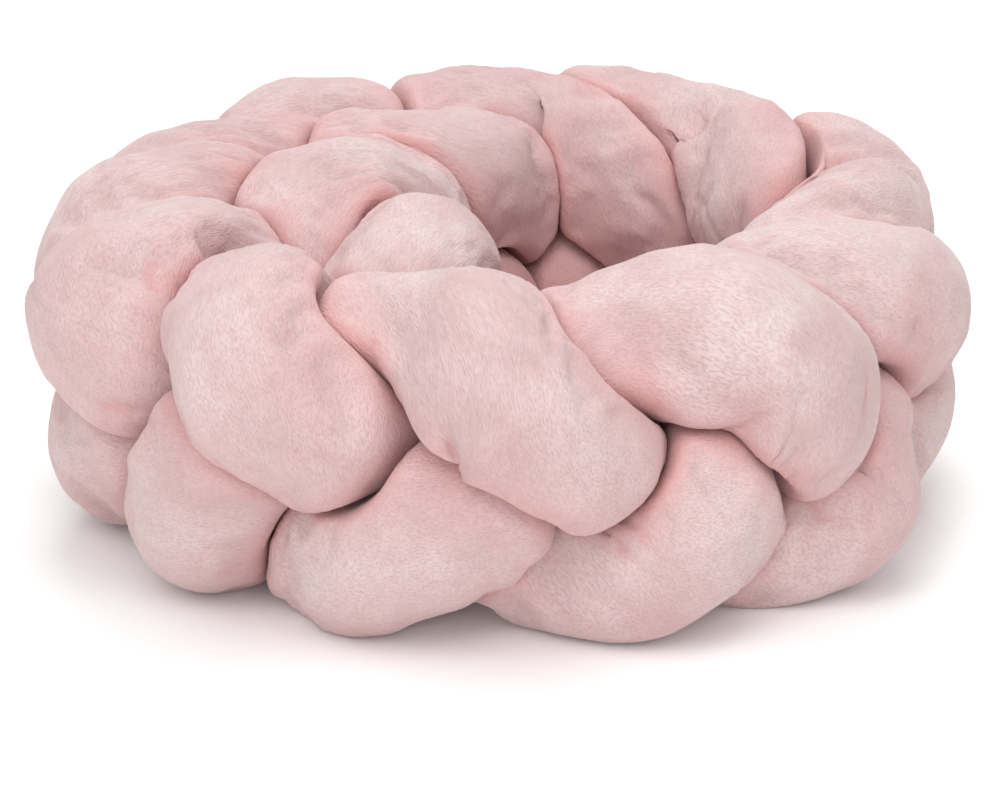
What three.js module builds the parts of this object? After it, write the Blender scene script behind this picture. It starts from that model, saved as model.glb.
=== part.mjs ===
// Braided crib bumper: three stuffed plush strands plaited into one long flat braid.
// The braid stands on its edge and is coiled into a ring, and its inner end lies along the inside
// of the left wall. Millimetres, +Z up, the front of the ring towards -Y.
import * as THREE from 'three';
import { mergeVertices } from 'three/addons/utils/BufferGeometryUtils.js';

// Sizes of the braid
const MID_HEIGHT = 89; // the braid's middle line above the floor
const RISE = 52; // a strand swings this far above and below the middle line
const RISE_SQUARING = 0.05; // share of the third harmonic in that swing
const SWING = 27; // a strand swings this far out of the ring and into it
const STRAND_RADIUS = 47; // of a strand that nothing presses
const PINCH = 0.15; // share by which a strand thins where it dives between the other two
const WALL_SQUEEZE = 1.12; // a strand is this much thinner across the wall
const LOWER_ADVANCE = 0.28; // rows by which the lower crossings run ahead of the upper ones
const EDGE_ROUNDING = 8; // how softly a pressed side turns into a free one
const PRESS_STEEPNESS = 0.75;
const STRAND_GAP = 1; // between strands that press each other

// Ends of the braid, counted in rows of the table below
const INNER_END = 1.3;
const OUTER_END = 16;
const END_CLOSING = 0.9; // rows over which the three strands draw together
const END_RISE = 0.5; // share of the rise left at an end
const END_SWING = 0.7; // share of the swing left at an end
const END_DROP = 22; // how far an end sinks
const TIP_REACH = 0.3; // rows from an end to its rounded tip
const TIP_ROUNDING = 1.1; // rows over which a strand thins to its tip
const TIP_POWER = 2.2; // bluntness of the tip
const TIP_BULGE = 0.04; // rows by which the tip's middle stands out

// Facets
const STATIONS = 108; // along a strand
const RAYS = 18; // round a strand
const SAMPLES_PER_ROW = 12; // of the middle lines that distances are measured to
const OWN_WINDOW = 0.9; // rows of its own line that a strand's skin looks at
const LAYER_DISTANCE = 4; // rows beyond which a strand's own line is another layer of the coil
const SECTION_TILT = 0.6; // share of the strand's slope that its sections follow
const MARCH_STEP = 5;
const MARCH_LIMIT = 60;
const HALVINGS = 8;
const DRAW_BACK_ROUNDS = 12;
const DRAW_BACK_SHARE = 0.6; // of a point's excess that its corners give up in a round
const FACET_DIVISIONS = 4; // of a facet's sides, for the points at which its excess is measured
const RIDGE_ROUNDS = 2;
const RIDGE_ALLOWANCE = 6; // a corner may stand out this far from the mean of its neighbours
const FACET_REACH = 15; // facets whose middle is further than this from a neighbour's side stay as they are

// Rows of the braid, one for each strand that crosses its top edge, from the inner end to the outer one.
// x and y place the middle line, flare leans the top out of the ring, lead (radians) brings the strand
// up early, lag (rows) holds its rising part back along the braid, bold pushes the neighbours of that
// part aside, and lift raises the crossing.
const ROWS = [
  { x: 36, y: -96, flare: 6, lead: 0, lag: 0, bold: 0, lift: 0 },
  { x: 2, y: -102, flare: 6, lead: 0, lag: 0, bold: 0, lift: 0 },
  { x: -46, y: -76, flare: 6, lead: 0, lag: 0, bold: 0, lift: -4 },
  { x: -86, y: 28, flare: 6, lead: 0, lag: 0, bold: 0, lift: 0 },
  { x: -50, y: 104, flare: 6, lead: 0, lag: 0, bold: 0, lift: 0 },
  { x: 12, y: 188, flare: 8, lead: 0.3, lag: 0.08, bold: 0, lift: 0 },
  { x: 138, y: 128, flare: 8, lead: 0.9, lag: 0.38, bold: 0, lift: 2 },
  { x: 184, y: 12, flare: 2, lead: 0.85, lag: 0.4, bold: 0, lift: -6 },
  { x: 146, y: -96, flare: 4, lead: 0, lag: 0.12, bold: 0, lift: -9 },
  { x: 97, y: -155, flare: 14, lead: -0.25, lag: -0.06, bold: 6, lift: 0 },
  { x: 0, y: -191, flare: 16, lead: -0.15, lag: -0.25, bold: 6, lift: 0 },
  { x: -100, y: -166, flare: 16, lead: 0.05, lag: -0.24, bold: 0, lift: 0 },
  { x: -163, y: -95, flare: 8, lead: 0.05, lag: -0.3, bold: -8, lift: 0 },
  { x: -178, y: 12, flare: 0, lead: 0, lag: 0, bold: 0, lift: 0 },
  { x: -150, y: 96, flare: 4, lead: 0, lag: 0, bold: 0, lift: -5 },
  { x: -100, y: 164, flare: 6, lead: 0, lag: 0, bold: 0, lift: 0 },
  { x: -36, y: 206, flare: 6, lead: 0, lag: 0, bold: 0, lift: 0 },
  { x: 30, y: 228, flare: 6, lead: 0, lag: 0, bold: 0, lift: 0 },
];

// Lower lobes that stray from the even run of the braid, each after the upper crossing of a row. out
// moves the lobe out of the ring, shift (rows) moves it along the braid, and delay (radians) keeps the
// strand up where it comes out between the other two.
const LOWER_LOBES = [
  { row: 6, out: -24, shift: 0, delay: 0 },
  { row: 7, out: 14, shift: -0.28, delay: 0.2 },
  { row: 8, out: -4, shift: -0.07, delay: 0.05 },
  { row: 9, out: -6, shift: 0.05, delay: 0.45 },
  { row: 10, out: -3, shift: 0.02, delay: 0.75 },
  { row: 11, out: 2, shift: 0, delay: 0 },
];
const EVEN_LOBE = { out: 0, shift: 0, delay: 0 };

// Phases of a strand: on its way up the outside, half way up, over the top, coming out, and lowest
const BOLD_PHASE = THREE.MathUtils.degToRad(30);
const RISING_PHASE = THREE.MathUtils.degToRad(45);
const TOP_PHASE = THREE.MathUtils.degToRad(90);
const EMERGING_PHASE = THREE.MathUtils.degToRad(195);
const LOWEST_PHASE = THREE.MathUtils.degToRad(270);

const STRANDS = [
  { name: 'strand_a', firstRow: 2 },
  { name: 'strand_b', firstRow: 0 },
  { name: 'strand_c', firstRow: 1 },
];
const PLUSH = { color: 0xe3c4c3, roughness: 0.95, metalness: 0 };

const LAST_ROW = ROWS.length - 1;
const UP = new THREE.Vector3(0, 0, 1);
const coil = new THREE.CatmullRomCurve3(
  ROWS.map((row) => new THREE.Vector3(row.x, row.y, 0)), false, 'catmullrom', 0.5);

const clamp01 = (value) => THREE.MathUtils.clamp(value, 0, 1);
const ease = (value) => THREE.MathUtils.smoothstep(value, 0, 1);

// Middle line of the braid at a row: its point, its direction and the way out of the ring
function coilFrame(row) {
  const step = 0.001;
  const point = coil.getPoint(row / LAST_ROW);
  const along = coil.getPoint((row + step) / LAST_ROW).sub(coil.getPoint((row - step) / LAST_ROW)).normalize();
  const outward = new THREE.Vector3().crossVectors(UP, along);
  return { point, along, outward };
}

function flareAt(row) {
  const index = Math.min(Math.floor(row), LAST_ROW - 1);
  return THREE.MathUtils.lerp(ROWS[index].flare, ROWS[index + 1].flare, row - index);
}

// A strand crosses the top edge once in three rows, at a phase of a quarter turn
function phaseAt(strand, row) {
  return (2 * Math.PI * (row - strand.firstRow)) / 3 + Math.PI / 2;
}

function nearestCrossing(strand, row) {
  const index = strand.firstRow + 3 * Math.round((row - strand.firstRow) / 3);
  return ROWS[THREE.MathUtils.clamp(index, 0, LAST_ROW)];
}

function lowerLobe(strand, row) {
  const index = strand.firstRow + 3 * Math.floor((row - strand.firstRow) / 3);
  return LOWER_LOBES.find((lobe) => lobe.row === index) ?? EVEN_LOBE;
}

// How much of a change made around one phase acts at another: all of it there, none a quarter turn away
function shareAround(phase, middle) {
  return Math.max(0, Math.cos(phase - middle)) ** 2;
}

function openness(row) {
  return ease((row - INNER_END) / END_CLOSING) * ease((OUTER_END - row) / END_CLOSING);
}

function strandFrame(strand, row) {
  const phase = phaseAt(strand, row);
  const ahead = (LOWER_ADVANCE * (1 - Math.sin(phase))) / 2;
  const shift = lowerLobe(strand, row).shift * shareAround(phase, LOWEST_PHASE);
  const lag = nearestCrossing(strand, row).lag * shareAround(phase, RISING_PHASE);
  return coilFrame(row + ahead + shift - lag);
}

function strandCentre(strand, row) {
  const phase = phaseAt(strand, row);
  const crossing = nearestCrossing(strand, row);
  const lobe = lowerLobe(strand, row);
  const open = openness(row);
  const lead = crossing.lead * shareAround(phase, RISING_PHASE);
  const turned = phase + lead - lobe.delay * shareAround(phase, EMERGING_PHASE);
  const rise = RISE * (Math.sin(turned) + RISE_SQUARING * Math.sin(3 * turned));
  const flare = flareAt(row) * Math.sin(phase) + lobe.out * shareAround(phase, LOWEST_PHASE);
  const swing = SWING * Math.sin(2 * phase) + flare;
  const { point, outward } = strandFrame(strand, row);
  point.addScaledVector(outward, swing * THREE.MathUtils.lerp(END_SWING, 1, open));
  point.z = MID_HEIGHT + rise * THREE.MathUtils.lerp(END_RISE, 1, open) - END_DROP * (1 - open);
  point.z += crossing.lift * shareAround(phase, TOP_PHASE);
  return point;
}

function strandRadius(strand, row) {
  const tipRoom = 0.05;
  const inner = clamp01((row - INNER_END + TIP_REACH + tipRoom) / TIP_ROUNDING);
  const outer = clamp01((OUTER_END + TIP_REACH + tipRoom - row) / TIP_ROUNDING);
  const rounding = Math.sqrt((1 - (1 - inner) ** TIP_POWER) * (1 - (1 - outer) ** TIP_POWER));
  const dive = Math.cos(phaseAt(strand, row)) ** 2;
  return STRAND_RADIUS * (1 - PINCH * dive) * rounding;
}

// Middle line of each strand as close samples, which the skins measure their distances to
const firstSampleRow = INNER_END - TIP_REACH;
const sampleCount = Math.round((OUTER_END + TIP_REACH - firstSampleRow) * SAMPLES_PER_ROW) + 1;
for (const strand of STRANDS) {
  strand.line = Array.from({ length: sampleCount }, (unused, index) => {
    const row = firstSampleRow + index / SAMPLES_PER_ROW;
    const bold = nearestCrossing(strand, row).bold * shareAround(phaseAt(strand, row), BOLD_PHASE);
    return { row, centre: strandCentre(strand, row), radius: strandRadius(strand, row), bold };
  });
}

// How far a point is beyond the strand's free side, from the strand's own line, and from the nearest
// other strand or other layer of the coil
function measure(strand, row, outward, point) {
  let free = Infinity;
  let own = Infinity;
  let other = Infinity;
  for (const neighbour of STRANDS) {
    for (const sample of neighbour.line) {
      const distance = sample.centre.distanceTo(point);
      const rowsAway = Math.abs(sample.row - row);
      if (neighbour !== strand || rowsAway > LAYER_DISTANCE) {
        other = Math.min(other, distance - sample.bold);
      } else if (rowsAway < OWN_WINDOW) {
        const across = point.clone().sub(sample.centre).dot(outward);
        const squeezed = Math.sqrt(distance ** 2 + (WALL_SQUEEZE ** 2 - 1) * across ** 2);
        free = Math.min(free, squeezed - sample.radius);
        own = Math.min(own, distance - sample.bold);
      }
    }
  }
  return { free, pressed: own - other + STRAND_GAP };
}

// Below zero inside the strand, with a soft turn from its free side to its pressed one
function skinField(strand, row, outward, point) {
  const { free, pressed } = measure(strand, row, outward, point);
  const press = pressed * PRESS_STEEPNESS;
  const blend = Math.max(EDGE_ROUNDING - Math.abs(free - press), 0);
  return Math.max(free, press) + (0.25 * blend ** 2) / EDGE_ROUNDING;
}

// Sections lean with the strand's slope, so that they stay apart where it climbs steeply
function sectionAxes(strand, row) {
  const step = 0.02;
  const { along, outward } = strandFrame(strand, row);
  const climb = strandCentre(strand, row + step).sub(strandCentre(strand, row - step));
  const advance = Math.max(climb.dot(along), Number.EPSILON);
  const tilt = SECTION_TILT * Math.atan2(climb.z, advance);
  const upward = UP.clone().multiplyScalar(Math.cos(tilt)).addScaledVector(along, -Math.sin(tilt));
  return { upward, outward };
}

// A corner of the skin lies on a ray from the strand's middle line, flat where it meets the floor
function cornerPoint(corner, reach) {
  const point = corner.centre.clone().addScaledVector(corner.ray, reach);
  point.z = Math.max(point.z, 0);
  return point;
}

// Reach of the skin along a corner's ray: the first way out of the field
function skinReach(strand, corner) {
  const isInside = (reach) => skinField(strand, corner.row, corner.outward, cornerPoint(corner, reach)) < 0;
  let inside = 0;
  while (inside < MARCH_LIMIT && isInside(inside + MARCH_STEP)) {
    inside += MARCH_STEP;
  }
  let outside = inside + MARCH_STEP;
  for (let halving = 0; halving < HALVINGS; halving += 1) {
    const middle = (inside + outside) / 2;
    if (isInside(middle)) {
      inside = middle;
    } else {
      outside = middle;
    }
  }
  return inside;
}

// Corner of the skin for a point of the cylinder: y runs along the strand, x up and z outwards
function makeCorner(strand, x, y, z) {
  const share = y + 0.5;
  const row = THREE.MathUtils.lerp(INNER_END - TIP_REACH, OUTER_END + TIP_REACH, share);
  const { upward, outward } = sectionAxes(strand, row);
  const ray = upward.multiplyScalar(x).addScaledVector(outward, z);
  const isTip = ray.length() < 0.5;
  const bulge = share < 0.5 ? -TIP_BULGE : TIP_BULGE;
  const corner = { row, outward, ray, centre: strandCentre(strand, isTip ? row + bulge : row), reach: 0 };
  if (!isTip) {
    ray.normalize();
    corner.reach = skinReach(strand, corner);
  }
  return corner;
}

// Facets are flat where the pressed sides are hollow, so corners of those that reach past the side draw
// back, each by its weight at the points that do
function drawBack(strand, corners, faces) {
  const pulls = new Float64Array(corners.length);
  for (let first = 0; first < faces.length; first += 3) {
    const face = [faces[first], faces[first + 1], faces[first + 2]];
    const [p, q, r] = face.map((index) => cornerPoint(corners[index], corners[index].reach));
    const row = (corners[face[0]].row + corners[face[1]].row + corners[face[2]].row) / 3;
    const { outward } = corners[face[0]];
    const pressedAt = (weights) => {
      const point = p.clone().multiplyScalar(weights[0]);
      point.addScaledVector(q, weights[1]).addScaledVector(r, weights[2]);
      return measure(strand, row, outward, point).pressed;
    };
    if (pressedAt([1 / 3, 1 / 3, 1 / 3]) < -FACET_REACH) {
      continue;
    }
    for (let i = 0; i <= FACET_DIVISIONS; i += 1) {
      for (let j = 0; j <= FACET_DIVISIONS - i; j += 1) {
        const weights = [i, j, FACET_DIVISIONS - i - j].map((count) => count / FACET_DIVISIONS);
        const excess = pressedAt(weights);
        face.forEach((index, place) => {
          pulls[index] = Math.max(pulls[index], excess * weights[place] * DRAW_BACK_SHARE);
        });
      }
    }
  }
  corners.forEach((corner, index) => {
    corner.reach = Math.max(corner.reach - pulls[index], 0);
  });
}

// A corner that stands out from its neighbours gives way, which rounds the ridges beside pressed sides
function roundRidges(corners, faces) {
  const sums = new Float64Array(corners.length);
  const counts = new Float64Array(corners.length);
  for (let first = 0; first < faces.length; first += 1) {
    const next = first % 3 === 2 ? first - 2 : first + 1;
    sums[faces[first]] += corners[faces[next]].reach;
    counts[faces[first]] += 1;
  }
  corners.forEach((corner, index) => {
    corner.reach = Math.min(corner.reach, sums[index] / counts[index] + RIDGE_ALLOWANCE);
  });
}

// A strand is a closed cylinder whose points are carried onto the strand's skin
function strandGeometry(strand) {
  const cylinder = new THREE.CylinderGeometry(1, 1, 1, RAYS, STATIONS);
  cylinder.deleteAttribute('normal');
  cylinder.deleteAttribute('uv');
  const geometry = mergeVertices(cylinder);
  const points = geometry.getAttribute('position');
  const corners = Array.from({ length: points.count }, (unused, index) => (
    makeCorner(strand, points.getX(index), points.getY(index), points.getZ(index))));
  for (let round = 0; round < DRAW_BACK_ROUNDS; round += 1) {
    drawBack(strand, corners, geometry.index.array);
  }
  for (let round = 0; round < RIDGE_ROUNDS; round += 1) {
    roundRidges(corners, geometry.index.array);
    drawBack(strand, corners, geometry.index.array);
  }
  corners.forEach((corner, index) => points.setXYZ(index, ...cornerPoint(corner, corner.reach).toArray()));
  geometry.computeVertexNormals();
  return geometry;
}

const group = new THREE.Group();
for (const strand of STRANDS) {
  const mesh = new THREE.Mesh(strandGeometry(strand), new THREE.MeshStandardMaterial(PLUSH));
  mesh.name = strand.name;
  group.add(mesh);
}

// The origin is the middle of the ring's base
const box = new THREE.Box3().setFromObject(group);
const middle = box.getCenter(new THREE.Vector3()).setZ(box.min.z);
group.children.forEach((mesh) => mesh.position.sub(middle));

export default group;
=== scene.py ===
import math
import bpy
import numpy as np
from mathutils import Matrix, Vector


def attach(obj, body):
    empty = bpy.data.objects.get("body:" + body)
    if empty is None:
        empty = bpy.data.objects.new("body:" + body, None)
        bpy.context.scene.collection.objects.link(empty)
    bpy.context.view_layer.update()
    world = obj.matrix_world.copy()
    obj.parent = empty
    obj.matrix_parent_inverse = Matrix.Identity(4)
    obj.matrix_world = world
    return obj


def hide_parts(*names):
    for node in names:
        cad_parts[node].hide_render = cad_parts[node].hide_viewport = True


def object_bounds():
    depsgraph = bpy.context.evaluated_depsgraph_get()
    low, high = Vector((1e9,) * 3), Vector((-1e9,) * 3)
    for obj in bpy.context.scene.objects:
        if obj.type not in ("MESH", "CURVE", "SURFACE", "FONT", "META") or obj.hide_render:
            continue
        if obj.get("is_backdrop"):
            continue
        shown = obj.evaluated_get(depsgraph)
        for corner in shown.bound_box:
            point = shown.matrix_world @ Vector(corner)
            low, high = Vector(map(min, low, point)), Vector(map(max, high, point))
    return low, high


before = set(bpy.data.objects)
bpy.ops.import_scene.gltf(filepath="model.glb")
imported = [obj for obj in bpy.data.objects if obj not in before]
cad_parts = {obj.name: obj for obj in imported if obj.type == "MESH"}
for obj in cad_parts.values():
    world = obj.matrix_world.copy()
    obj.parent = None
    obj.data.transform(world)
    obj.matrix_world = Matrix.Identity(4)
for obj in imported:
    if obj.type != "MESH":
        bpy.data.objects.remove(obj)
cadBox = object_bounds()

scene = bpy.context.scene
print("frame loaded:", sorted(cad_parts))

# the plait of three stuffed strands: lengths in metres, places along it in rows, one row per top crossing
plait = {
    "midHeight": 0.089,      # middle line above the floor
    "rise": 0.052,           # swing of a strand above and below the middle line
    "squaring": 0.05,        # share of the third harmonic in that swing
    "swing": 0.027,          # swing of a strand out of the ring and into it
    "turnRows": 3,           # rows from one top crossing of a strand to its next
    "lowerAdvance": 0.28,    # rows by which lower crossings run ahead
    "radius": 0.046,         # of a strand that nothing presses
    "pinch": 0.15,           # thinning where a strand dives between the others
    "squeeze": 1.12,         # thinner across the wall by this factor
    "rounding": 0.005,       # softness of the turn from a free side to a pressed one
    "joining": 0.032,        # width over which neighbouring strands swell to meet each other
    "press": 0.75,           # steepness of a pressed side beside that of a free one
    "gap": 0.0003,           # between strands that press each other
    "inner": 1.3,            # row of the inner end
    "outer": 16.0,           # row of the outer end
    "closing": 0.9,          # rows over which the strands draw together at an end
    "endRise": 0.5,          # share of the rise that is left there
    "endSwing": 0.7,         # and of the swing
    "endDrop": 0.022,        # how far an end sinks
    "tipReach": 0.3,         # rows by which a strand runs on past the end
    "tipRoom": 0.05,         # rows from its last section to where its radius would be nothing
    "tipRounding": 1.1,      # rows over which a tip is rounded off
    "tipPower": 2.2,         # of the superellipse that rounds it
    "ringMiddle": (-0.0053014, -0.0063880),   # middle of the ring's box in the rows' own x and y
}

# how finely a strand's skin is worked out, in metres and rows
skinGrid = {
    "samplesPerRow": 20,     # points of a middle line
    "stationsPerRow": 40,    # sections of the skin
    "rays": 96,              # points round a section
    "sectionTilt": 0.6,      # share of the slope that a section leans with
    "slopeStep": 0.02,       # rows to either side between which the slope is taken
    "marchStep": 0.008,      # of the first search along a ray
    "halvings": 8,           # of the step in which the skin lies
    "rayLimit": 0.057,       # longest ray
    "trimRoom": 0.0015,      # how far a ray may differ from all those around it
    "softening": 3,          # rounds of smoothing
    "ownWindow": 0.9,        # rows of its own line to either side that a section measures to
    "layerDistance": 4.0,    # rows after which the same strand counts as a neighbour
    "farAway": 1.0,          # distance that stands for no neighbour
    "chunk": 80,             # sections measured at a time
    "tipPush": 0.35,         # share of the last step by which a tip's point stands past its section
}

# rows of the coil from the inner end to the outer one: x and y of the middle line and outward flare of the
# top, in mm, then lead (radians) that brings a strand up early, lag (rows) of its rising part, how far that
# part pushes its neighbours aside and how far the crossing is lifted, in mm
coilColumns = ["x", "y", "flare", "lead", "lag", "push", "lift"]
coilRows = np.array([
    (36, -96, 6, 0, 0, 0, 0), (2, -102, 6, 0, 0, 0, 0), (-46, -76, 6, 0, 0, 0, -4),
    (-86, 28, 6, 0, 0, 0, 0), (-54, 100, 4, 0, 0, -4, 0), (12, 188, 8, 0.3, 0.08, 0, 0),
    (138, 128, 8, 0.9, 0.38, 0, 2), (184, 12, 2, 0.85, 0.4, 0, -6), (146, -96, 4, 0, 0.12, -4, -8),
    (96, -155, 13, -0.25, -0.08, 1, -1), (4, -189, 14, -0.12, -0.34, -8, -1),
    (-99, -165, 14, 0.05, -0.27, -4, 0), (-163, -95, 8, 0.05, -0.3, -8, 0),
    (-178, 12, 0, 0, 0, 0, 0), (-150, 96, 4, 0, 0, 0, -5), (-100, 164, 6, 0, 0, 0, 0),
    (-36, 206, 6, 0, 0, 0, 0), (30, 228, 6, 0, 0, 0, 0),
])
coilRows[:, [0, 1, 2, 5, 6]] *= 0.001
coilRows[:, :2] -= np.array(plait["ringMiddle"])

# lower lobes that stray, after the upper crossing of a row: out of the ring (mm), along the plait (rows),
# and held up where the strand comes out between the other two (radians)
lobeColumns = ["out", "along", "hold"]
lowerLobes = np.zeros((len(coilRows), len(lobeColumns)))
lowerLobes[6:9] = [(-24, 0, 0), (14, -0.28, 0.2), (-4, -0.07, 0.05)]
lowerLobes[9:12] = [(-6, 0.05, 0.45), (-3, 0, 0.7), (2, 0, 0)]
lowerLobes[:, 0] *= 0.001

# by how much rays run further than the limit, around the top crossing of a row
rayExtra = np.zeros(len(coilRows))
rayExtra[10:13] = [0.024, 0.008, 0.006]

# phase of a strand, in degrees, around which a change acts: 90 is a top crossing and 270 a lower lobe
actsAround = {"push": 30, "rise": 45, "top": 90, "longRays": 110, "comingOut": 195, "lobe": 270}

# each strand: its first top crossing and its sewn seam's way round it (row, degrees; 0 out, 90 up, 180 in)
strandTable = {
    "strand_a": {"firstRow": 2, "slot": "plush_a", "seed": 11,
                 "seam": [(1, 260), (5, 330), (8, 250), (9.5, 185), (10.9, 140), (12.5, 200), (16.5, 250)]},
    "strand_b": {"firstRow": 0, "slot": "plush_b", "seed": 23,
                 "seam": [(1, 250), (3, 300), (4.6, 250), (6.3, 171), (7.5, 205), (9, 240), (10.5, 120),
                          (11.6, 30), (12.4, 0), (13.5, -50), (16.5, -60)]},
    "strand_c": {"firstRow": 1, "slot": "plush_c", "seed": 37,
                 "seam": [(1, 260), (4, 320), (7, 320), (8.5, 210), (9.5, 92), (9.8, 95), (10.2, 116),
                          (11.5, 200), (16.5, 250)]},
}


# smooth curve through rows of values: Catmull-Rom cubic between the two rows around t, ends run straight on
def throughRows(values, t):
    last = len(values) - 1
    i = np.clip(np.floor(t).astype(int), 0, last - 1)
    u = (t - i)[:, None]
    before = np.concatenate([2 * values[:1] - values[1:2], values])
    after = np.concatenate([values, 2 * values[-1:] - values[-2:-1]])
    p0, p1, p2, p3 = before[i], values[i], values[i + 1], after[i + 2]
    cubic = (3 * p1 - p0 - 3 * p2 + p3) * u**3
    return 0.5 * (2 * p1 + (p2 - p0) * u + (2 * p0 - 5 * p1 + 4 * p2 - p3) * u**2 + cubic)


def easeInOut(x):
    x = np.clip(x, 0, 1)
    return x * x * (3 - 2 * x)   # cubic step from 0 to 1


# middle line of the plait at t: point, unit direction along it from the difference of two points close by,
# and unit normal out of the ring, which is left of the direction
def coilFrame(t):
    step = 1e-3
    point = throughRows(coilRows[:, :2], t)
    along = throughRows(coilRows[:, :2], t + step) - throughRows(coilRows[:, :2], t - step)
    along /= np.linalg.norm(along, axis=1, keepdims=True)
    zero = np.zeros(len(t))
    direction = np.stack([along[:, 0], along[:, 1], zero], 1)
    return point, direction, np.stack([-along[:, 1], along[:, 0], zero], 1)


def phaseAt(first, t):
    return 2 * np.pi * (t - first) / plait["turnRows"] + np.pi / 2   # a quarter turn at each top crossing


# share of a change made around one phase that acts at another: max(0, cos(difference))^2
def shareAround(phase, change):
    return np.maximum(np.cos(phase - math.radians(actsAround[change])), 0) ** 2


# row of a strand's top crossing that is nearest (np.round) or last before t (np.floor)
def crossingRow(first, t, choice):
    turns = choice((t - first) / plait["turnRows"])
    return np.clip(first + plait["turnRows"] * turns, 0, len(coilRows) - 1).astype(int)


# value of the nearest top crossing's row, acting around one phase
def crossingValue(first, t, column, change):
    value = coilRows[crossingRow(first, t, np.round), coilColumns.index(column)]
    return value * shareAround(phaseAt(first, t), change)


# value of the lower lobe after the last top crossing, acting around one phase
def lobeValue(first, t, column, change):
    value = lowerLobes[crossingRow(first, t, np.floor), lobeColumns.index(column)]
    return value * shareAround(phaseAt(first, t), change)


# the plait's middle line beside a strand: lower parts run ahead by (1 - sin(phase)) / 2, rising ones lag
def strandFrame(first, t):
    ahead = plait["lowerAdvance"] * (1 - np.sin(phaseAt(first, t))) / 2
    stray = lobeValue(first, t, "along", "lobe")
    return coilFrame(t + ahead + stray - crossingValue(first, t, "lag", "rise"))


# middle line of a strand: sine of the phase up and down, sine of twice the phase out and in, closing at
# the ends
def strandCentre(first, t):
    phase = phaseAt(first, t)
    turned = phase + crossingValue(first, t, "lead", "rise") - lobeValue(first, t, "hold", "comingOut")
    opened = easeInOut((t - plait["inner"]) / plait["closing"])
    opened = opened * easeInOut((plait["outer"] - t) / plait["closing"])
    flare = np.interp(t, np.arange(len(coilRows)), coilRows[:, coilColumns.index("flare")])
    swing = plait["swing"] * np.sin(2 * phase) + flare * np.sin(phase) + lobeValue(first, t, "out", "lobe")
    rise = plait["rise"] * (np.sin(turned) + plait["squaring"] * np.sin(3 * turned))
    point, along, outward = strandFrame(first, t)
    centre = np.concatenate([point, np.zeros((len(t), 1))], 1)
    centre += outward * (swing * (plait["endSwing"] + (1 - plait["endSwing"]) * opened))[:, None]
    centre[:, 2] = plait["midHeight"] + rise * (plait["endRise"] + (1 - plait["endRise"]) * opened)
    centre[:, 2] += crossingValue(first, t, "lift", "top") - plait["endDrop"] * (1 - opened)
    return centre


# radius of a strand: thinner where it dives, by cos(phase)^2, and rounded off at both tips by a superellipse
def strandRadius(first, t):
    room = plait["tipReach"] + plait["tipRoom"]
    fromInner = np.clip((t - plait["inner"] + room) / plait["tipRounding"], 0, 1)
    fromOuter = np.clip((plait["outer"] + room - t) / plait["tipRounding"], 0, 1)
    tips = np.sqrt((1 - (1 - fromInner) ** plait["tipPower"]) * (1 - (1 - fromOuter) ** plait["tipPower"]))
    return plait["radius"] * (1 - plait["pinch"] * np.cos(phaseAt(first, t)) ** 2) * tips


startRow = plait["inner"] - plait["tipReach"]
endRow = plait["outer"] + plait["tipReach"]


# rows from one tip of a strand to the other, so many to a row of the plait
def rowsAlong(perRow):
    return np.linspace(startRow, endRow, int(round((endRow - startRow) * perRow)) + 1)


sampleRows = rowsAlong(skinGrid["samplesPerRow"])
for strand in strandTable.values():
    strand["line"] = strandCentre(strand["firstRow"], sampleRows)
    strand["lineRadius"] = strandRadius(strand["firstRow"], sampleRows)
    strand["linePush"] = crossingValue(strand["firstRow"], sampleRows, "push", "push")
    strand["lineOutward"] = strandFrame(strand["firstRow"], sampleRows)[2]
print("middle lines:", len(sampleRows), "samples each")


# distance from each point to the strand's free side and to its own line, and the same for the nearest other
# strand or layer of the coil; a line's push is taken off the distance to it
def measureSkin(name, rows, outward, points):
    strand = strandTable[name]
    farAway = skinGrid["farAway"]
    stations, rays = points.shape[:2]
    stretch = plait["squeeze"] ** 2 - 1
    window = int(skinGrid["ownWindow"] * skinGrid["samplesPerRow"])
    nearest = np.round((rows - startRow) * skinGrid["samplesPerRow"]).astype(int)
    free = np.full((stations, rays), farAway)
    own = np.full((stations, rays), farAway)
    for offset in range(-window, window + 1):
        index = np.clip(nearest + offset, 0, len(sampleRows) - 1)
        away = points - strand["line"][index][:, None, :]
        across = (away * outward[:, None, :]).sum(2)
        square = (away**2).sum(2)
        free = np.minimum(free, np.sqrt(square + stretch * across**2) - strand["lineRadius"][index][:, None])
        own = np.minimum(own, np.sqrt(square) - strand["linePush"][index][:, None])
    flat = points.reshape(-1, 3).astype(np.float32)
    other = np.full(len(flat), farAway, np.float32)
    otherFree = np.full(len(flat), farAway, np.float32)
    for otherName, neighbour in strandTable.items():
        line = neighbour["line"].astype(np.float32)
        square = (flat**2).sum(1)[:, None] + (line**2).sum(1) - 2 * flat @ line.T
        reach = np.sqrt(np.maximum(square, 0)) - neighbour["linePush"].astype(np.float32)
        if otherName == name:
            sameLayer = np.abs(sampleRows[None, :] - rows[:, None]) <= skinGrid["layerDistance"]
            reach += np.repeat(sameLayer, rays, axis=0)   # a metre further, so its own layer never counts
        index = reach.argmin(1)
        close = reach[np.arange(len(flat)), index]
        away = flat - line[index]
        across = (away * neighbour["lineOutward"][index]).sum(1)
        side = np.sqrt((away**2).sum(1) + stretch * across**2) - neighbour["lineRadius"][index]
        otherFree = np.minimum(otherFree, np.where(close < farAway, side, farAway))
        other = np.minimum(other, close)
    return free, own, otherFree.reshape(stations, rays), other.reshape(stations, rays)


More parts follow.
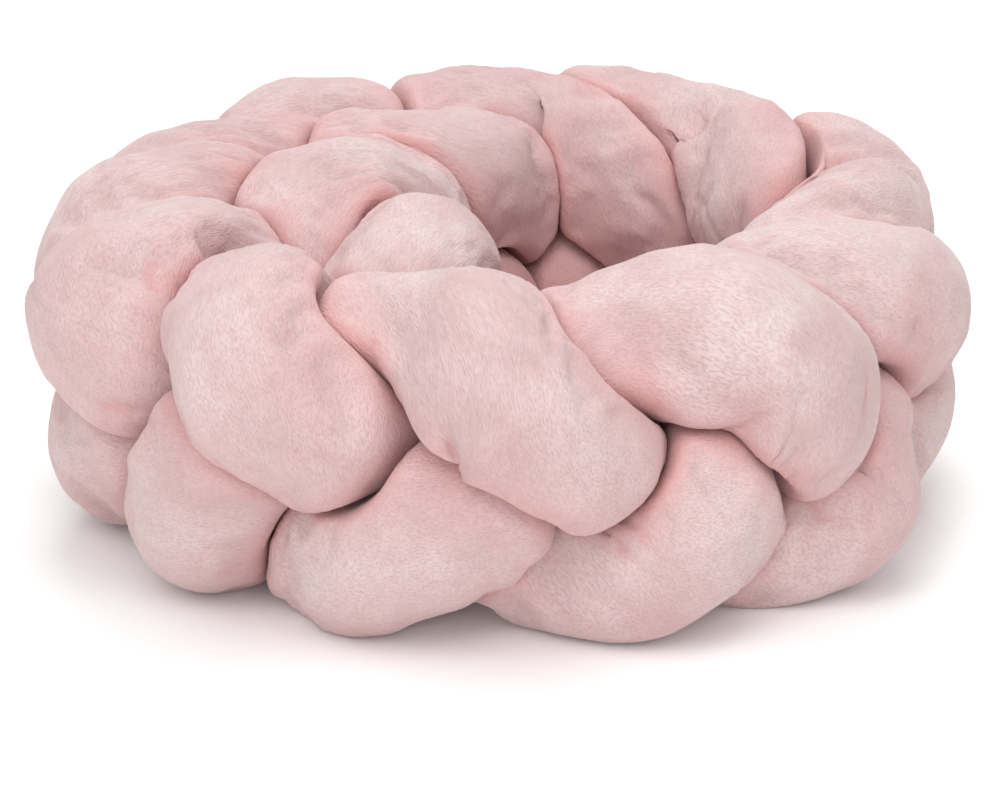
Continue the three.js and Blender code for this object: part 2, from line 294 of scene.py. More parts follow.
# below zero inside the strand: smooth union of its free side with its neighbours' free sides,
# then smooth maximum of that and of the side that presses on them
def skinField(name, rows, outward, points):
    free, own, otherFree, other = measureSkin(name, rows, outward, points)
    near = np.maximum(plait["joining"] - np.maximum(otherFree - free, 0), 0)
    free = free - near**2 / (4 * plait["joining"])
    pressed = (own - other + plait["gap"]) * plait["press"]
    blend = np.maximum(plait["rounding"] - np.abs(free - pressed), 0)
    return np.maximum(free, pressed) + 0.25 * blend**2 / plait["rounding"]


# least or greatest of each point and the eight around it, on a grid that is closed round the strand
def aroundGrid(grid, choice):
    grid = choice(choice(np.roll(grid, 1, 1), grid), np.roll(grid, -1, 1))
    inner = choice(choice(grid[:-2], grid[1:-1]), grid[2:])
    return np.concatenate([grid[:1], inner, grid[-1:]])


# way of a strand's seam round it in radians: straight from place to place of its table
def seamAngle(strand, rows):
    seamRows, degrees = np.array(strand["seam"], float).T
    return np.radians(np.interp(rows, seamRows, degrees))


# skin of a strand on a grid of stations and rays: the first way out of the field along each ray,
# rays start at the seam and turn from outward to up, sections lean with the slope
def strandSkin(name):
    strand = strandTable[name]
    first = strand["firstRow"]
    rows = rowsAlong(skinGrid["stationsPerRow"])
    centre = strandCentre(first, rows)
    point, along, outward = strandFrame(first, rows)
    slopeStep = skinGrid["slopeStep"]
    climb = strandCentre(first, rows + slopeStep) - strandCentre(first, rows - slopeStep)
    slope = np.arctan2(climb[:, 2], np.maximum((climb * along).sum(1), 1e-6))
    lean = (skinGrid["sectionTilt"] * slope)[:, None]
    upward = np.array([[0, 0, 1]]) * np.cos(lean) - along * np.sin(lean)
    turn = np.linspace(0, 2 * np.pi, skinGrid["rays"], endpoint=False)
    angle = seamAngle(strand, rows)[:, None] + turn[None, :]
    ray = outward[:, None, :] * np.cos(angle)[..., None] + upward[:, None, :] * np.sin(angle)[..., None]
    place = lambda reach: centre[:, None, :] + ray * reach[..., None]
    extra = rayExtra[crossingRow(first, rows, np.round)]
    limit = skinGrid["rayLimit"] + extra * shareAround(phaseAt(first, rows), "longRays")
    inside = np.zeros(angle.shape)
    still = np.ones(angle.shape, bool)
    for step in np.arange(skinGrid["marchStep"], limit.max(), skinGrid["marchStep"]):
        still &= skinField(name, rows, outward, place(np.full(angle.shape, step))) < 0
        inside = np.where(still, step, inside)
    outside = inside + skinGrid["marchStep"]
    for halving in range(skinGrid["halvings"]):
        middle = (inside + outside) / 2
        isIn = skinField(name, rows, outward, place(middle)) < 0
        inside, outside = np.where(isIn, middle, inside), np.where(isIn, outside, middle)
    inside = np.minimum(inside, limit[:, None])
    # no ray stands out from those around it and none falls short of them
    opening = aroundGrid(aroundGrid(inside, np.minimum), np.maximum)
    inside = np.minimum(inside, opening + skinGrid["trimRoom"])
    closing = aroundGrid(aroundGrid(inside, np.maximum), np.minimum)
    inside = np.maximum(inside, closing - skinGrid["trimRoom"])
    return rows, outward, place(inside)


# binomial smoothing of a grid that is closed round the strand: quarter, half, quarter along both directions
def softenGrid(grid, rounds):
    for i in range(rounds):
        grid = (np.roll(grid, 1, 1) + 2 * grid + np.roll(grid, -1, 1)) / 4
        inner = (grid[:-2] + 2 * grid[1:-1] + grid[2:]) / 4
        grid = np.concatenate([grid[:1], inner, grid[-1:]])
    return grid


# tight bends where sections would cross each other
bends = {
    "fadeRays": 6,
    "places": [("strand_c", 9.80, 10.20, 46, 72), ("strand_a", 4.68, 4.90, 42, 64)],   # rows, then rays
}


# over each bend of a strand, straight lines from the section before it to the one after it, eased off over
# the outermost rays
def straightenBends(name, grid, rows):
    ray = np.arange(grid.shape[1])
    for owner, before, after, firstRay, lastRay in bends["places"]:
        if owner == name:
            start, end = np.searchsorted(rows, [before, after])
            share = np.linspace(0, 1, end - start + 1)[:, None, None]
            weight = easeInOut((ray - firstRay) / bends["fadeRays"])
            weight = weight * easeInOut((lastRay - ray) / bends["fadeRays"])
            straight = grid[start] * (1 - share) + grid[end] * share
            grid[start:end + 1] += (straight - grid[start:end + 1]) * weight[None, :, None]


# where the skin is smoothed further: a limit, the span over which smoothing grows past it, and its rounds
relaxing = {
    "innerTail": (1.9, 0.4), "outerTail": (15.2, 0.5), "tailRounds": 30,        # rows
    "stretched": (0.006, 0.008), "stretchedRounds": 16,                         # metres to the next point
    "turnedBack": (0.0008, 0.0014), "turnedRounds": 12, "turnedPasses": 4,      # metres on along the strand
    "spreadRounds": 6, "spreadGain": 1.5,
}


# smoothing by a share of each point, which is spread to the points around it first
def relaxWhere(grid, share, rounds):
    share = np.clip(relaxing["spreadGain"] * softenGrid(share, relaxing["spreadRounds"]), 0, 1)
    return grid + (softenGrid(grid, rounds) - grid) * share[..., None]


# further smoothing at the hidden tails, where the grid is stretched over a bend, and in passes where it
# turns back on itself: share grows with the longer step to a neighbour, and as the step along turns back
def relaxSkin(grid, rows):
    innerRow, innerSpan = relaxing["innerTail"]
    outerRow, outerSpan = relaxing["outerTail"]
    tails = easeInOut((innerRow - rows) / innerSpan) + easeInOut((rows - outerRow) / outerSpan)
    grid = grid + (softenGrid(grid, relaxing["tailRounds"]) - grid) * tails[:, None, None]
    stepRound = np.linalg.norm(np.roll(grid, -1, 1) - grid, axis=2)
    stepAlong = np.linalg.norm(np.gradient(grid, axis=0), axis=2)
    limit, span = relaxing["stretched"]
    stretched = easeInOut((np.maximum(stepRound, stepAlong) - limit) / span)
    grid = relaxWhere(grid, stretched, relaxing["stretchedRounds"])
    limit, span = relaxing["turnedBack"]
    for i in range(relaxing["turnedPasses"]):
        line = np.gradient(softenGrid(grid, relaxing["spreadRounds"]).mean(1), axis=0)
        line /= np.linalg.norm(line, axis=1, keepdims=True)
        forward = (np.gradient(grid, axis=0) * line[:, None, :]).sum(2)
        grid = relaxWhere(grid, easeInOut((limit - forward) / span), relaxing["turnedRounds"])
    return grid


# twice as many stations and rays, new ones by the cubic (-1, 9, 9, -1) / 16 of their four neighbours
def doubleGrid(grid):
    wide = np.concatenate([2 * grid[:1] - grid[1:2], grid, 2 * grid[-1:] - grid[-2:-1]])
    between = (9 * (wide[1:-2] + wide[2:-1]) - wide[:-3] - wide[3:]) / 16
    tall = np.empty((2 * len(grid) - 1, *grid.shape[1:]))
    tall[0::2], tall[1::2] = grid, between
    between = (9 * (tall + np.roll(tall, -1, 1)) - np.roll(tall, 1, 1) - np.roll(tall, -2, 1)) / 16
    full = np.empty((len(tall), 2 * tall.shape[1], *tall.shape[2:]))
    full[:, 0::2], full[:, 1::2] = tall, between
    return full


# unit normals of the grid: cross product of the step round the strand and the step along it
def gridNormals(grid):
    normal = np.cross(np.roll(grid, -1, 1) - np.roll(grid, 1, 1), np.gradient(grid, axis=0))
    return normal / np.maximum(np.linalg.norm(normal, axis=2, keepdims=True), 1e-9)


# quads between stations and rays of a closed tube, a fan to a point at each tip, as one object
def tubeObject(name, grid):
    stations, rays = grid.shape[:2]
    push = skinGrid["tipPush"]
    tipA = grid[0].mean(0) * (1 + push) - grid[1].mean(0) * push
    tipB = grid[-1].mean(0) * (1 + push) - grid[-2].mean(0) * push
    verts = np.concatenate([grid.reshape(-1, 3), [tipA, tipB]])
    i, k = np.meshgrid(np.arange(stations - 1), np.arange(rays), indexing="ij")
    corner = lambda station, ray: station * rays + ray % rays
    quads = np.stack([corner(i, k), corner(i, k + 1), corner(i + 1, k + 1), corner(i + 1, k)], 2)
    ring = np.arange(rays)
    end = stations - 1
    fanA = np.stack([np.full(rays, stations * rays), corner(0, ring + 1), corner(0, ring)], 1)
    fanB = np.stack([np.full(rays, stations * rays + 1), corner(end, ring), corner(end, ring + 1)], 1)
    loops = np.concatenate([quads.ravel(), fanA.ravel(), fanB.ravel()])
    sizes = np.concatenate([np.full(quads.size // 4, 4), np.full(2 * rays, 3)])
    mesh = bpy.data.meshes.new(name)
    mesh.vertices.add(len(verts))
    mesh.vertices.foreach_set("co", verts.astype(np.float32).ravel())
    mesh.loops.add(len(loops))
    mesh.loops.foreach_set("vertex_index", loops.astype(np.int32))
    mesh.polygons.add(len(sizes))
    mesh.polygons.foreach_set("loop_start", (np.cumsum(sizes) - sizes).astype(np.int32))
    mesh.update(calc_edges=True)
    mesh.polygons.foreach_set("use_smooth", np.ones(len(sizes), bool))
    tube = bpy.data.objects.new(name, mesh)
    scene.collection.objects.link(tube)
    return tube


# map of the cloth: metres along the strand and metres round it from the seam, in the order of tubeObject's
# corners
def mapCloth(mesh, grid):
    stations, rays = grid.shape[:2]
    i, k = np.meshgrid(np.arange(stations - 1), np.arange(rays), indexing="ij")
    length = np.concatenate([[0], np.cumsum(np.linalg.norm(np.diff(grid.mean(1), axis=0), axis=1))])
    u = np.stack([length[i], length[i], length[i + 1], length[i + 1]], 2)
    v = np.stack([k, k + 1, k + 1, k], 2)
    ring = np.arange(rays)
    fanA = np.stack([np.zeros((rays, 3)), np.stack([ring + 0.5, ring + 1, ring], 1)], 2)
    fanB = np.stack([np.full((rays, 3), length[-1]), np.stack([ring + 0.5, ring, ring + 1], 1)], 2)
    uv = np.concatenate([np.stack([u, v], 3).reshape(-1, 2), fanA.reshape(-1, 2), fanB.reshape(-1, 2)])
    uv[:, 1] *= 2 * np.pi * plait["radius"] / rays
    mesh.uv_layers.new(name="cloth").data.foreach_set("uv", uv.astype(np.float32).ravel())


# the filling: cloth on every second point starts a little smaller than the skin, has slack to swell under
# pressure and is held where strands press
filling = {
    "frames": 20,
    "pressure": 12.0,
    "shrink": 0.0015,        # start inside the skin
    "slack": 0.03,           # share by which the cloth is cut larger
    "cap": 0.006,            # longest move that is kept
    "holdReach": 0.006,      # distance from a pressed side over which the hold falls off
    "holdLevels": 10,
    "tension": 2.0,
    "bending": 0.05,
    "pointWeight": 0.004,
}


# cloth of one strand: pressed sides are held by exp(-(distance / reach)^2), in steps
def clothBag(name, grid, apart):
    coarse = grid[::2, ::2]
    hold = np.exp(-(np.maximum(apart[::2, ::2], 0) / filling["holdReach"]) ** 2)
    start = coarse - gridNormals(coarse) * (filling["shrink"] * (1 - hold))[..., None]
    bag = tubeObject("bag_" + name, start)
    group = bag.vertex_groups.new(name="hold")
    levels = filling["holdLevels"]
    level = np.round(np.append(hold.ravel(), [1, 1]) * levels).astype(int)
    for i in range(1, levels + 1):
        group.add(np.nonzero(level == i)[0].tolist(), i / levels, "REPLACE")
    cloth = bag.modifiers.new("cloth", "CLOTH")
    cloth.settings.mass = filling["pointWeight"]
    cloth.settings.shrink_min = -filling["slack"]
    cloth.settings.tension_stiffness = filling["tension"]
    cloth.settings.compression_stiffness = filling["tension"]
    cloth.settings.bending_stiffness = filling["bending"]
    cloth.settings.use_pressure = True
    cloth.settings.uniform_pressure_force = filling["pressure"]
    cloth.settings.effector_weights.gravity = 0
    cloth.settings.vertex_group_mass = "hold"
    cloth.collision_settings.use_collision = False
    return bag, start, coarse


# skins after the cloth's frames: start plus the move, which is cut to the cap
def inflate(skins):
    bags = {name: clothBag(name, grid, apart) for name, (grid, apart) in skins.items()}
    for i in range(1, filling["frames"] + 1):
        scene.frame_set(i)
    graph = bpy.context.evaluated_depsgraph_get()
    swollen = {}
    for name, (bag, start, coarse) in bags.items():
        result = bag.evaluated_get(graph).to_mesh()
        points = np.empty(3 * len(result.vertices), np.float32)
        result.vertices.foreach_get("co", points)
        move = points.reshape(-1, 3)[:-2].reshape(start.shape) - start
        size = np.linalg.norm(move, axis=2, keepdims=True)
        move *= np.minimum(1, filling["cap"] / np.maximum(size, 1e-9))
        swollen[name] = skins[name][0] + doubleGrid(start + move - coarse)
        print("cloth:", name, "moved %.1f mm, at most %.1f mm" % (1000 * size.mean(), 1000 * size.max()))
    scene.frame_set(1)
    for bag, start, coarse in bags.values():
        mesh = bag.data
        bpy.data.objects.remove(bag)
        bpy.data.meshes.remove(mesh)
    return swollen


# distance from a strand's points to the sides that its neighbours press: nearest other line less the own one
def apartFrom(name, rows, outward, grid):
    parts = []
    for i in range(0, len(rows), skinGrid["chunk"]):
        some = slice(i, i + skinGrid["chunk"])
        free, own, otherFree, other = measureSkin(name, rows[some], outward[some], grid[some])
        parts.append(other - own)
    return np.concatenate(parts)


skins = {}
for name in strandTable:
    rows, outward, grid = strandSkin(name)
    straightenBends(name, grid, rows)
    grid = relaxSkin(softenGrid(grid, skinGrid["softening"]), rows)
    skins[name] = (grid, apartFrom(name, rows, outward, grid))
    print("skin:", name, grid.shape)
shapes = inflate(skins)

# lumps and dimples of the filling, in metres
unevenness = {
    "lumpSize": 0.085, "lumpDepth": 0.0013, "dimpleSize": 0.030, "dimpleDepth": 0.0004,
    "waves": 24, "waveSpread": (0.7, 1.5),
}

# the sewn seam and the puckers across it, in metres
seamLine = {
    "depth": 0.0013, "width": 0.0022,
    "puckerDepth": 0.0005, "puckerReach": 0.010, "puckerLength": 0.016,
    "drift": 1.5, "driftLength": 0.021,      # radians by which the puckers stray, and how slowly
}

# folds and gathers of the cloth: strand, places along the line (row, degrees), depth and width in mm
gathers = {
    "linePoints": 40, "reachStations": 30, "endShare": 0.25,
    "lines": [
        ("strand_b", [(5.92, 160), (5.97, 135), (5.97, 96)], 13, 9),                             # back right
        ("strand_c", [(7.30, 122), (7.02, 133), (6.89, 118), (6.89, 98), (6.94, 34)], 13, 9),    # right
        ("strand_a", [(9.50, 40), (9.42, 12)], 4, 5),                       # below the front crossings
        ("strand_a", [(9.40, 42), (9.32, 24)], 3, 4),
        ("strand_b", [(8.55, 34), (8.46, 6)], 3, 5),
        ("strand_b", [(9.20, 320), (9.10, 342)], 4, 5),
        ("strand_c", [(8.70, 30), (8.62, 8)], 3, 5),
        ("strand_b", [(11.36, 352), (11.30, 374)], 3, 4),
        ("strand_b", [(11.60, 114), (11.48, 92)], 3, 5),
        ("strand_c", [(10.24, 350), (10.10, 338)], 3, 4),
    ],
}


# smooth unevenness in space: a sum of sines with random directions around one wavelength
def waveNoise(points, wavelength, seed):
    rng = np.random.default_rng(seed)
    count = unevenness["waves"]
    headings = rng.normal(size=(count, 3))
    headings /= np.linalg.norm(headings, axis=1, keepdims=True)
    numbers = 2 * np.pi / wavelength * rng.uniform(*unevenness["waveSpread"], count)
    shifts = rng.uniform(0, 2 * np.pi, count)
    total = np.zeros(points.shape[:-1])
    for heading, number, shift in zip(headings, numbers, shifts):
        total += np.sin(points @ heading * number + shift)
    return total * math.sqrt(2 / count)


# nearness to one gather over the grid: exp(-distance / width) from its line on the skin, fading to its ends
# by a parabola
def gatherShare(grid, rows, seam, places, width):
    row, degrees = np.array(places, float).T
    share = np.linspace(0, 1, gathers["linePoints"])
    corner = np.linspace(0, 1, len(places))
    rowIndex = np.round((np.interp(share, corner, row) - rows[0]) / (rows[1] - rows[0])).astype(int)
    around = np.radians(np.interp(share, corner, degrees)) - seam[rowIndex]
    rayIndex = np.round(around / (2 * np.pi) * grid.shape[1]).astype(int) % grid.shape[1]
    spine = grid[rowIndex, rayIndex]
    reach = gathers["reachStations"]
    near = slice(max(rowIndex.min() - reach, 0), rowIndex.max() + reach)
    away = np.linalg.norm(grid[near][:, :, None, :] - spine, axis=3)
    fade = np.minimum(1, gathers["endShare"] + 4 * share * (1 - share))
    out = np.zeros(grid.shape[:2])
    out[near] = (np.exp(-away / width) * fade).max(2)
    return out


# height of the cloth over the swollen skin and share of its folds: lumps and dimples, a groove along the
# seam by exp(-(distance / width)^2) with a sine of puckers across it, less the gathers
def clothRelief(name, grid, rows):
    strand = strandTable[name]
    swell = unevenness["lumpDepth"] * waveNoise(grid, unevenness["lumpSize"], strand["seed"])
    swell += unevenness["dimpleDepth"] * waveNoise(grid, unevenness["dimpleSize"], strand["seed"] + 1)
    ringStep = np.linalg.norm(np.roll(grid, -1, 1) - grid, axis=2)
    fromSeam = np.cumsum(ringStep, axis=1) - ringStep   # the seam is the first ray
    fromSeam = np.minimum(fromSeam, ringStep.sum(1, keepdims=True) - fromSeam)
    stitchWay = np.concatenate([[0], np.cumsum(np.linalg.norm(np.diff(grid[:, 0], axis=0), axis=1))])
    drift = seamLine["drift"] * np.sin(stitchWay / seamLine["driftLength"])
    pucker = np.sin(2 * np.pi * stitchWay / seamLine["puckerLength"] + drift)[:, None]
    swell -= seamLine["depth"] * np.exp(-(fromSeam / seamLine["width"]) ** 2)
    swell += seamLine["puckerDepth"] * pucker * np.exp(-(fromSeam / seamLine["puckerReach"]) ** 2)
    folded = np.zeros(grid.shape[:2])
    seam = seamAngle(strand, rows)
    for owner, places, depth, width in gathers["lines"]:
        if owner == name:
            share = gatherShare(grid, rows, seam, places, 0.001 * width)
            swell -= 0.001 * depth * share
            folded = np.maximum(folded, share**2)
    return swell, folded


# painted shade, standing in for the dimmer light where the plush lies in shadow: share beside a neighbour
# and metres over which it falls off, close by and further off, then shares in folds, inside the ring below
# its rim and under the bellies
shade = {
    "close": (0.55, 0.006), "further": (0.40, 0.024), "folds": 0.7,
    "bowl": 0.85, "bowlRim": 0.17, "bowlDepth": 0.11, "bellies": 0.3,
}


# share of painted shade: one less the product of what each cause of shadow leaves
def creaseShade(grid, outward, away, folded):
    normal = gridNormals(grid)
    inward = np.clip(-(normal * outward[:, None, :]).sum(2), 0, 1)
    bowl = inward * easeInOut((shade["bowlRim"] - grid[..., 2]) / shade["bowlDepth"])
    belly = np.clip(-normal[..., 2], 0, 1)
    closeShare, closeReach = shade["close"]
    furtherShare, furtherReach = shade["further"]
    beside = closeShare * np.exp(-away / closeReach) + furtherShare * np.exp(-away / furtherReach)
    causes = (beside, shade["folds"] * folded, shade["bowl"] * bowl, shade["bellies"] * belly)
    return 1 - np.prod([1 - cause for cause in causes], axis=0)


# a node by one short call: kind, place in the editor, then its settings and input values
def addNode(tree, kind, x, y, **values):
    node = tree.nodes.new(kind)
    node.location = (x, y)
    for key, value in values.items():
        if key in node.bl_rna.properties:
            setattr(node, key, value)
        else:
            node.inputs[key].default_value = value
    return node


# straight ramp of a value: low to high becomes least to most
def addRamp(tree, x, y, value, low, high, least, most):
    ramp = addNode(tree, "ShaderNodeMapRange", x, y)
    for i, number in enumerate((low, high, least, most)):
        ramp.inputs[i + 1].default_value = number
    tree.links.new(value, ramp.inputs[0])
    return ramp.outputs[0]


# mix of two colours by a share, each given as a socket or a value
def addMix(tree, x, y, share, first, second):
    mix = addNode(tree, "ShaderNodeMix", x, y, data_type="RGBA")
    for i, part in ((0, share), (6, first), (7, second)):   # sockets of the share and of the colours
        if isinstance(part, bpy.types.NodeSocket):
            tree.links.new(part, mix.inputs[i])
        else:
            mix.inputs[i].default_value = part
    return mix.outputs[2]


plushLook = {
    "pale": (0.565, 0.424, 0.422, 1),
    "frost": (0.640, 0.546, 0.542, 1),
    "deep": (0.435, 0.280, 0.280, 1),
    # painted shade colour for creases, folds, the ring's bowl and the bellies' undersides, and its greatest
    # share
    "paintedShadeColour": (0.600, 0.315, 0.310, 1),
    "paintedShadeShare": 0.9,
    "patches": {"Scale": 16.0, "Detail": 3.0, "Roughness": 0.55, "Distortion": 0.6},
    "patchRange": (0.40, 0.64),                   # of the noise, from pale to frost
    "flow": {"Scale": 20.0, "Detail": 1.0},
    "flowReach": 0.008,                           # how far the nap wanders
    "napTurn": 48.0,                              # degrees from the strand's length
    "hairs": {"Scale": 1.0, "Detail": 1.5, "Roughness": 0.55, "Distortion": 0.3},
    "hairSize": (0.0026, 0.0009, 1),
    "hairRange": (0.36, 0.58),
    "hairShare": 0.46,
    "tufts": {"Scale": 1.0, "Detail": 2.0, "Roughness": 0.55, "Distortion": 0.3},
    "tuftSize": (0.010, 0.005, 1),
    "tuftRange": (0.36, 0.56),
    "tuftShare": 0.18,
    "tuftHeight": 0.8,                            # beside that of the hairs
    "bump": {"Strength": 0.75, "Distance": 0.0012},
    "cloth": {
        "Roughness": 0.92, "Specular IOR Level": 0.15,
        "Subsurface Weight": 0.35, "Subsurface Radius": (1.0, 0.5, 0.45), "Subsurface Scale": 0.008,
        "Sheen Weight": 0.20, "Sheen Roughness": 0.40, "Sheen Tint": (1.0, 0.82, 0.81, 1),
    },
}


# the plush's nap: pale patches in space, and tufts and hairs drawn out along the nap on the cloth's map,
# whose direction wanders with a slow noise; colour deepens between hairs, and painted shade darkens it
# towards the creases, folds, the ring's bowl and the bellies' undersides
def napGroup():
    look = plushLook
    group = bpy.data.node_groups.new("plush_nap", "ShaderNodeTree")
    for socket, kind in (("Place", "Vector"), ("Cloth", "Vector"), ("PaintedShade", "Float"), ("Seed", "Float")):
        group.interface.new_socket(socket, in_out="INPUT", socket_type="NodeSocket" + kind)
    for socket, kind in (("Color", "Color"), ("Height", "Float")):
        group.interface.new_socket(socket, in_out="OUTPUT", socket_type="NodeSocket" + kind)
    link = group.links.new
    given = addNode(group, "NodeGroupInput", -1700, 0)
    made = addNode(group, "NodeGroupOutput", 500, 0)
    seed = addNode(group, "ShaderNodeCombineXYZ", -1500, -250)
    for axis in "XYZ":
        link(given.outputs["Seed"], seed.inputs[axis])
    place = addNode(group, "ShaderNodeVectorMath", -1300, 200, operation="ADD")
    link(given.outputs["Place"], place.inputs[0])
    link(seed.outputs[0], place.inputs[1])
    patches = addNode(group, "ShaderNodeTexNoise", -1050, 400, **look["patches"])
    flow = addNode(group, "ShaderNodeTexNoise", -1050, 150, **look["flow"])
    link(place.outputs[0], patches.inputs["Vector"])
    link(place.outputs[0], flow.inputs["Vector"])
    wander = addNode(group, "ShaderNodeVectorMath", -850, 100, operation="SCALE", Scale=look["flowReach"])
    link(flow.outputs["Color"], wander.inputs[0])
    shifted = addNode(group, "ShaderNodeVectorMath", -1050, -200, operation="ADD")
    link(given.outputs["Cloth"], shifted.inputs[0])
    link(seed.outputs[0], shifted.inputs[1])
    combed = addNode(group, "ShaderNodeVectorMath", -850, -200, operation="ADD")
    link(shifted.outputs[0], combed.inputs[0])
    link(wander.outputs[0], combed.inputs[1])
    layers = []
    hairLayer = (-150, look["hairSize"], look["hairs"])
    tuftLayer = (-450, look["tuftSize"], look["tufts"])
    for y, size, pattern in (hairLayer, tuftLayer):
        drawn = addNode(group, "ShaderNodeMapping", -650, y, vector_type="TEXTURE")
        drawn.inputs["Rotation"].default_value = (0, 0, math.radians(look["napTurn"]))
        drawn.inputs["Scale"].default_value = size
        link(combed.outputs[0], drawn.inputs["Vector"])
        noise = addNode(group, "ShaderNodeTexNoise", -450, y, **pattern)
        link(drawn.outputs[0], noise.inputs["Vector"])
        layers.append(noise.outputs["Fac"])
    hairs, tufts = layers
    frosted = addRamp(group, -650, 400, patches.outputs["Fac"], *look["patchRange"], 0, 1)
    colour = addMix(group, -250, 350, frosted, look["pale"], look["frost"])
    betweenHairs = addRamp(group, -250, -100, hairs, *look["hairRange"], look["hairShare"], 0)
    colour = addMix(group, -50, 300, betweenHairs, colour, look["deep"])
    betweenTufts = addRamp(group, -250, -400, tufts, *look["tuftRange"], look["tuftShare"], 0)
    colour = addMix(group, 150, 250, betweenTufts, colour, look["deep"])
    # painted shade: the colour turns to the shadow colour by the painted shade attribute
    paintedShadeMix = addRamp(group, 150, 0, given.outputs["PaintedShade"], 0, 1, 0, look["paintedShadeShare"])
    colour = addMix(group, 330, 200, paintedShadeMix, colour, look["paintedShadeColour"])
    height = addNode(group, "ShaderNodeMath", 150, -300, operation="MULTIPLY_ADD")
    height.inputs[1].default_value = look["tuftHeight"]
    link(tufts, height.inputs[0])
    link(hairs, height.inputs[2])
    link(colour, made.inputs["Color"])
    link(height.outputs[0], made.inputs["Height"])
    return group


# pink plush: the nap's colour with its painted shade, and its height, on a rough cloth with a soft sheen
def plushMaterial(name, nap, seed):
    material = bpy.data.materials.new(name)
    material.use_nodes = True
    tree = material.node_tree
    tree.nodes.clear()
    link = tree.links.new
    coords = addNode(tree, "ShaderNodeTexCoord", -700, 200)
    cloth = addNode(tree, "ShaderNodeUVMap", -700, -50, uv_map="cloth")
    # reads the painted shade worked out on the mesh
    paintedShade = addNode(tree, "ShaderNodeAttribute", -700, -200, attribute_name="paintedShade")
    pattern = addNode(tree, "ShaderNodeGroup", -450, 100, node_tree=nap)
    pattern.inputs["Seed"].default_value = seed
    link(coords.outputs["Object"], pattern.inputs["Place"])
    link(cloth.outputs["UV"], pattern.inputs["Cloth"])
    link(paintedShade.outputs["Fac"], pattern.inputs["PaintedShade"])
    bump = addNode(tree, "ShaderNodeBump", -200, -150, **plushLook["bump"])
    link(pattern.outputs["Height"], bump.inputs["Height"])
    shader = addNode(tree, "ShaderNodeBsdfPrincipled", 0, 200, **plushLook["cloth"])
    link(pattern.outputs["Color"], shader.inputs["Base Color"])
    link(bump.outputs["Normal"], shader.inputs["Normal"])
    output = addNode(tree, "ShaderNodeOutputMaterial", 300, 200)
    link(shader.outputs["BSDF"], output.inputs["Surface"])
    return material


# how a strand is drawn back to its neighbours' sides: share of the way past them, and most in one pass
drawBack = {"passes": 3, "share": 0.5, "most": 0.004}

nap = napGroup()
for name, strand in strandTable.items():
    grid = shapes[name]
    rows = rowsAlong(skinGrid["stationsPerRow"])
    outward = strandFrame(strand["firstRow"], rows)[2]
    normal = gridNormals(grid)
    swell, folded = clothRelief(name, grid, rows)
    grid = grid + normal * swell[..., None]
    for i in range(drawBack["passes"]):
        past = plait["gap"] - apartFrom(name, rows, outward, grid)
        grid = grid - normal * np.clip(past * drawBack["share"], 0, drawBack["most"])[..., None]
    grid[..., 2] = np.maximum(grid[..., 2], 0)   # stands on the floor
    # painted shade where neighbours, folds, the ring's bowl and the bellies' undersides would shadow the
    # plush
    paintedShade = creaseShade(grid, outward, np.maximum(-past, 0), folded)
    piece = tubeObject("plush_" + name, grid)
    mapCloth(piece.data, grid)
    paintedShadeData = piece.data.attributes.new("paintedShade", "FLOAT", "POINT").data
    paintedShadeData.foreach_set("value", np.append(paintedShade.ravel(), [0, 0]).astype(np.float32))
    piece.data.materials.append(plushMaterial("pink_plush_" + name[-1], nap, strand["seed"]))
    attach(piece, "root")
    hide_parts(name)
    print("strand:", name, len(piece.data.polygons), "faces, was past its neighbours by %.2f mm"
          % (1000 * past.max()))

# floor and light
studio = {
    "floorSize": 14.0,
    "floorPaint": {"Base Color": (0.95, 0.95, 0.95, 1), "Roughness": 0.9, "Specular IOR Level": 0.1},
    "sky": {"Color": (1, 1, 1, 1), "Strength": 0.52},
    "lamps": [  # name, place, aim, size, watts
        ("key", (-0.8, -1.9, 2.3), (0, 0, 0.08), 2.0, 29),
        ("fill", (1.3, -1.9, 2.0), (0, 0, 0.08), 2.0, 15),
        ("low", (-0.4, -2.7, 0.7), (0, 0, 0.08), 1.4, 18),
        ("over", (0.1, -0.45, 1.3), (0, 0.12, 0.1), 0.8, 4.8),
        ("back", (0.0, 2.6, 2.8), (0, 1.8, 0.0), 2.6, 80),
    ],
}
half = studio["floorSize"] / 2
floorCorners = [(-half, -half, 0), (half, -half, 0), (half, half, 0), (-half, half, 0)]
floorMesh = bpy.data.meshes.new("floor")
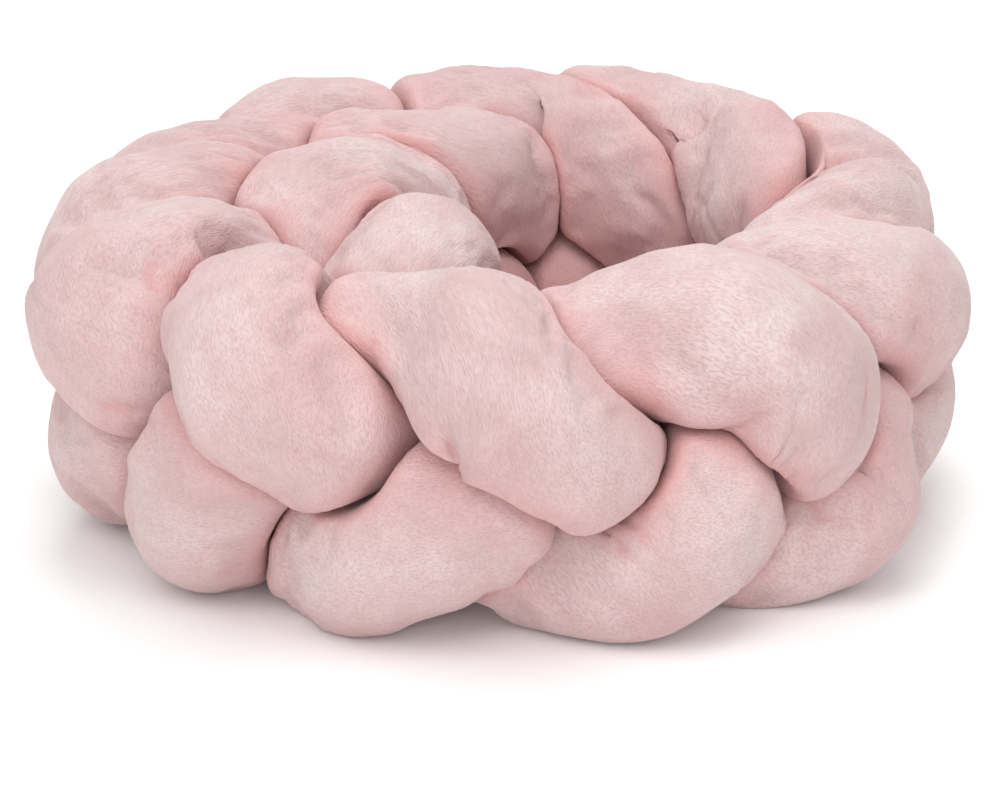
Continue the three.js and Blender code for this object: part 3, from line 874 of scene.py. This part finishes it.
floorMesh.from_pydata(floorCorners, [], [(0, 1, 2, 3)])
floor = bpy.data.objects.new("floor", floorMesh)
scene.collection.objects.link(floor)
floorPaint = bpy.data.materials.new("floor_paint")
floorPaint.use_nodes = True
for socket, value in studio["floorPaint"].items():
    floorPaint.node_tree.nodes["Principled BSDF"].inputs[socket].default_value = value
floorMesh.materials.append(floorPaint)
floor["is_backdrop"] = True


# lamp or camera at a place, its own -Z along the line to the target
def aimAt(thing, place, target):
    thing.location = place
    thing.rotation_euler = (Vector(target) - Vector(place)).to_track_quat("-Z", "Y").to_euler()


for lampName, place, target, size, watts in studio["lamps"]:
    lampData = bpy.data.lights.new(lampName, "AREA")
    lampData.shape = "DISK"
    lampData.size = size
    lampData.energy = watts
    lamp = bpy.data.objects.new(lampName, lampData)
    scene.collection.objects.link(lamp)
    aimAt(lamp, place, target)

world = bpy.data.worlds.new("studio")
scene.world = world
world.use_nodes = True
for socket, value in studio["sky"].items():
    world.node_tree.nodes["Background"].inputs[socket].default_value = value
scene.view_settings.view_transform = "Standard"
print("studio:", len(studio["lamps"]), "lamps")

# camera at the photograph's angle, aimed at a point of the ring, which the frame shows a little above its
# middle; focal length as a share of the picture's width
view = {
    "elevation": 19.2, "distance": 1.5, "focal": 2.88, "sensor": 36,
    "aim": (-0.004, -0.030, 0.085), "frameRise": 0.042,
}
cameraData = bpy.data.cameras.new("camera")
cameraData.sensor_width = view["sensor"]
cameraData.lens = view["sensor"] * view["focal"]
cameraData.shift_y = -view["frameRise"]
camera = bpy.data.objects.new("camera", cameraData)
scene.collection.objects.link(camera)
aim = np.array(view["aim"]) - np.array([*plait["ringMiddle"], 0])
tilt = math.radians(view["elevation"])
aimAt(camera, tuple(aim + view["distance"] * np.array([0, -math.cos(tilt), math.sin(tilt)])), tuple(aim))
scene.camera = camera
print("camera at", tuple(round(x, 3) for x in camera.location))

({"cad": [list(map(float, corner)) for corner in cadBox],
           "visual": [list(map(float, corner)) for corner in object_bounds()]})
